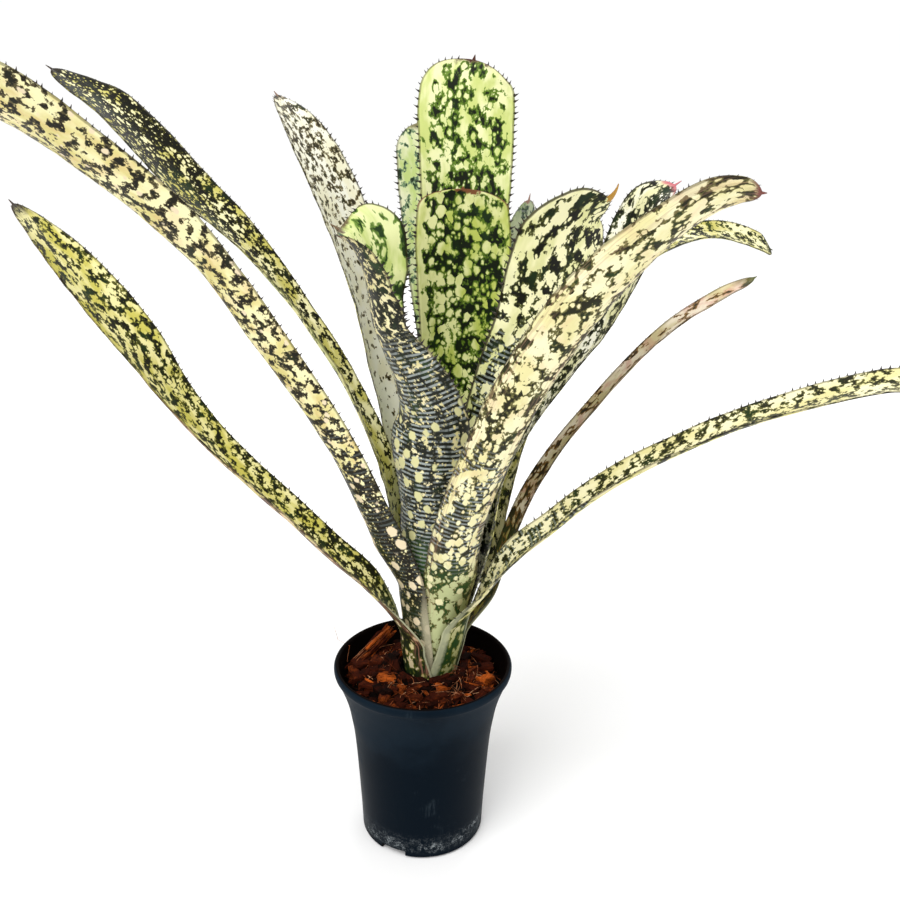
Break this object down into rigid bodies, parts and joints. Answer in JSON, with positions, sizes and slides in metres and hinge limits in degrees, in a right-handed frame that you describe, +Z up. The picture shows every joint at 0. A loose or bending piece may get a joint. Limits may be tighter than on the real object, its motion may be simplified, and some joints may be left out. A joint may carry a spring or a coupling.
{
  "type": "potted limestone billbergia",
  "caption": "Mottled, spiny bromeliad with cream and dark green strap leaves in a flared black plastic nursery pot of bark.",
  "frame": {"origin": "centre of the pot's underside, on the plane it rests on", "axes": "+Z up; -Y towards the side seen in the picture; +X to the right of that view"},
  "size_m": [0.484, 0.3225, 0.4702],
  "materials": {
    "pot": "matte",
    "substrate": "matte",
    "crown": "matte",
    "leaf": "satin",
    "dry_leaf": "matte"
  },
  "bodies": {
    "root": {"pot": "pot", "substrate": "substrate", "crown": "crown", "leaf_low_left": "leaf", "leaf_front_left": "leaf", "leaf_back_left": "leaf", "leaf_tall_left": "leaf", "leaf_banded_left": "leaf", "leaf_front_inner": "leaf", "leaf_tall_back": "leaf", "leaf_far_back": "leaf", "leaf_inner_right": "leaf", "leaf_hooked_right": "leaf", "leaf_big_right": "leaf", "leaf_back_right": "leaf", "leaf_arching_back": "leaf", "leaf_dry_right": "dry_leaf", "leaf_low_right": "leaf"}
  },
  "joints": []
}
